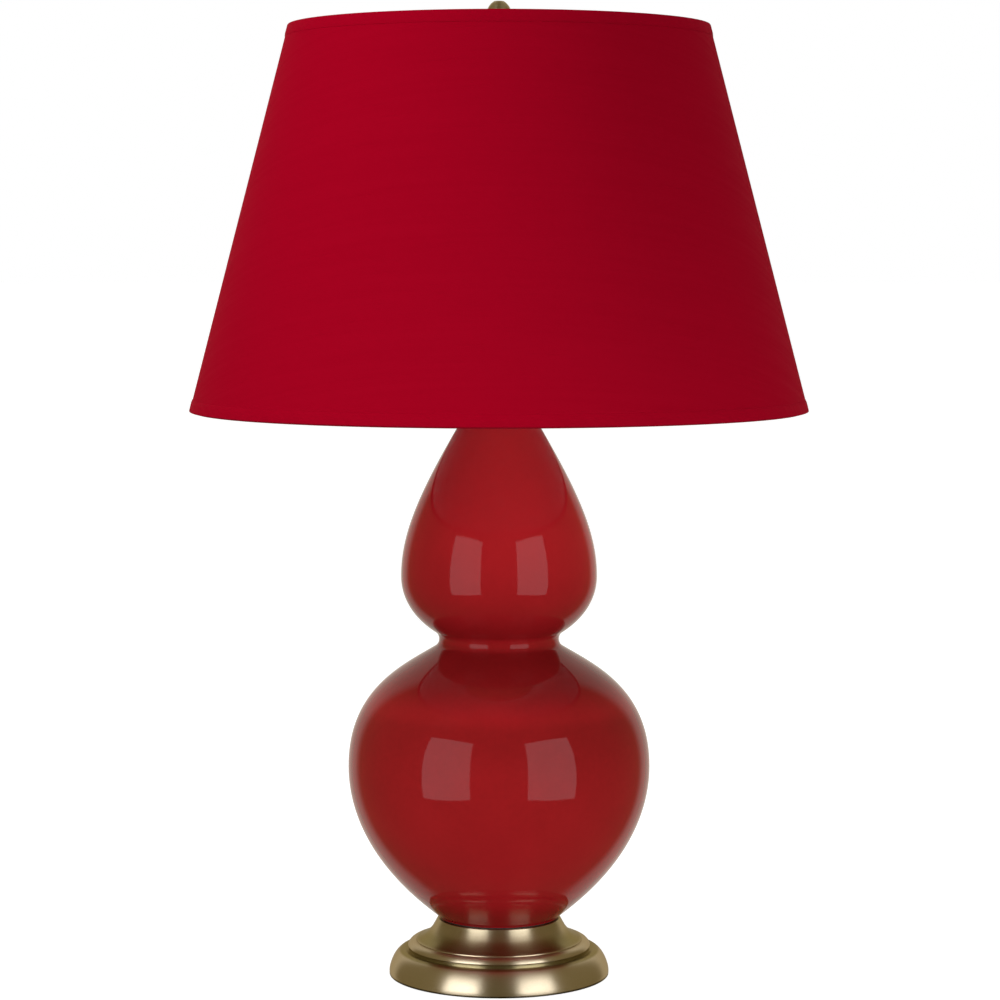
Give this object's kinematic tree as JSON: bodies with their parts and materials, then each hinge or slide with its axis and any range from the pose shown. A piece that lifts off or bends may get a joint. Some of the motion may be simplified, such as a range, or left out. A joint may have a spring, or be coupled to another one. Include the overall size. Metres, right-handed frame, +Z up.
{
  "type": "table lamp",
  "caption": "Table lamp with a glazed double gourd ceramic body on a stepped brass foot, carrying a tapered drum shade on a harp with a finial.",
  "frame": {"origin": "middle of the felt's underside, where the lamp rests on the table", "axes": "+Z up along the lamp's axis; -Y the front, with the switch knob; +Y the back, with the cord inlet; the harp stands in the X-Z plane"},
  "size_m": [0.4971, 0.4972, 0.787],
  "materials": {
    "felt": "black-brown pressed wool felt",
    "cast_iron": "rough sand casting, unpainted",
    "antique_brass": "satin antique brass, fine turned grain, lacquered",
    "black_nylon": "moulded, fine matt",
    "zinc_steel": "zinc plated",
    "black_rubber": "smooth",
    "red_glaze": "high gloss ruby red glaze",
    "harp_brass": "satin antique brass plate on steel",
    "socket_brass": "satin brass",
    "black_phenolic": "moulded phenolic, half gloss",
    "terminal_brass": "bright",
    "contact_brass": "rolled sheet, bright",
    "fibre_paper": "grey-brown insulating fibre",
    "solder_metal": "dull solder",
    "black_glass": "black insulating glass",
    "bulb_cap_metal": "rolled, half gloss",
    "frosted_glass": "soft white coating inside",
    "frame_brass": "brass plated steel wire",
    "white_styrene": "white styrene lining sheet",
    "red_fabric": "tightly woven linen blend, laminated, fine cross slub",
    "red_hem": "the shade's own cloth, folded, cut on the cross"
  },
  "bodies": {
    "lamp": {"felt_pad": "felt", "base_weight": "cast_iron", "base_shell": "antique_brass", "cord_bushing": "black_nylon", "threaded_rod": "zinc_steel", "rod_washer": "zinc_steel", "rod_lock_washer": "zinc_steel", "rod_nut": "zinc_steel", "seat_gasket": "black_rubber", "ceramic_body": "red_glaze", "neck_gasket": "black_rubber", "vase_cap": "antique_brass", "check_ring": "antique_brass", "neck_tube": "antique_brass", "neck_nut": "antique_brass", "harp_saddle": "harp_brass", "socket_cap": "socket_brass", "cap_set_screw": "zinc_steel", "socket_core": "black_phenolic", "terminal_screws": "terminal_brass", "socket_screw_shell": "contact_brass", "centre_contact": "contact_brass", "ring_contact": "contact_brass", "socket_liner": "fibre_paper", "socket_shell": "socket_brass"},
    "switch": {"switch_stem": "zinc_steel", "switch_knob": "black_phenolic"},
    "bulb": {"bulb_button": "solder_metal", "bulb_insulator": "black_glass", "bulb_cap": "bulb_cap_metal", "bulb_glass": "frosted_glass"},
    "harp": {"harp_loop": "harp_brass"},
    "sleeve_left": {"harp_sleeve_left": "harp_brass"},
    "sleeve_right": {"harp_sleeve_right": "harp_brass"},
    "swivel": {"harp_stud": "harp_brass"},
    "shade": {"spider_hub": "frame_brass", "spider_arms": "frame_brass", "shade_top_ring": "frame_brass", "shade_bottom_ring": "frame_brass", "shade_liner": "white_styrene", "shade_fabric": "red_fabric", "shade_top_hem": "red_hem", "shade_bottom_hem": "red_hem"},
    "finial": {"finial": "antique_brass"}
  },
  "joints": [
    {"name": "switch_turn", "type": "hinge", "parent": "lamp", "child": "switch", "pos_m": [0, -0.0205, 0.5411], "axis": [0, -1, 0], "continuous": true},
    {"name": "bulb_lift", "type": "slide", "parent": "lamp", "child": "bulb", "axis": [0, 0, 1], "range_m": [0, 0.03]},
    {"name": "harp_lift", "type": "slide", "parent": "lamp", "child": "harp", "axis": [0, 0, 1], "range_m": [0, 0.03]},
    {"name": "sleeve_left_slide", "type": "slide", "parent": "harp", "child": "sleeve_left", "axis": [0, 0, 1], "range_m": [0, 0.018]},
    {"name": "sleeve_right_slide", "type": "slide", "parent": "harp", "child": "sleeve_right", "axis": [0, 0, 1], "range_m": [0, 0.018]},
    {"name": "shade_swivel", "type": "hinge", "parent": "harp", "child": "swivel", "pos_m": [0, 0, 0.7555], "axis": [0, 0, 1], "continuous": true},
    {"name": "shade_lift", "type": "slide", "parent": "swivel", "child": "shade", "axis": [0, 0, 1], "range_m": [0, 0.32]},
    {"name": "finial_turn", "type": "hinge", "parent": "shade", "child": "finial", "pos_m": [0, 0, 0.7588], "axis": [0, 0, 1], "continuous": true}
  ]
}
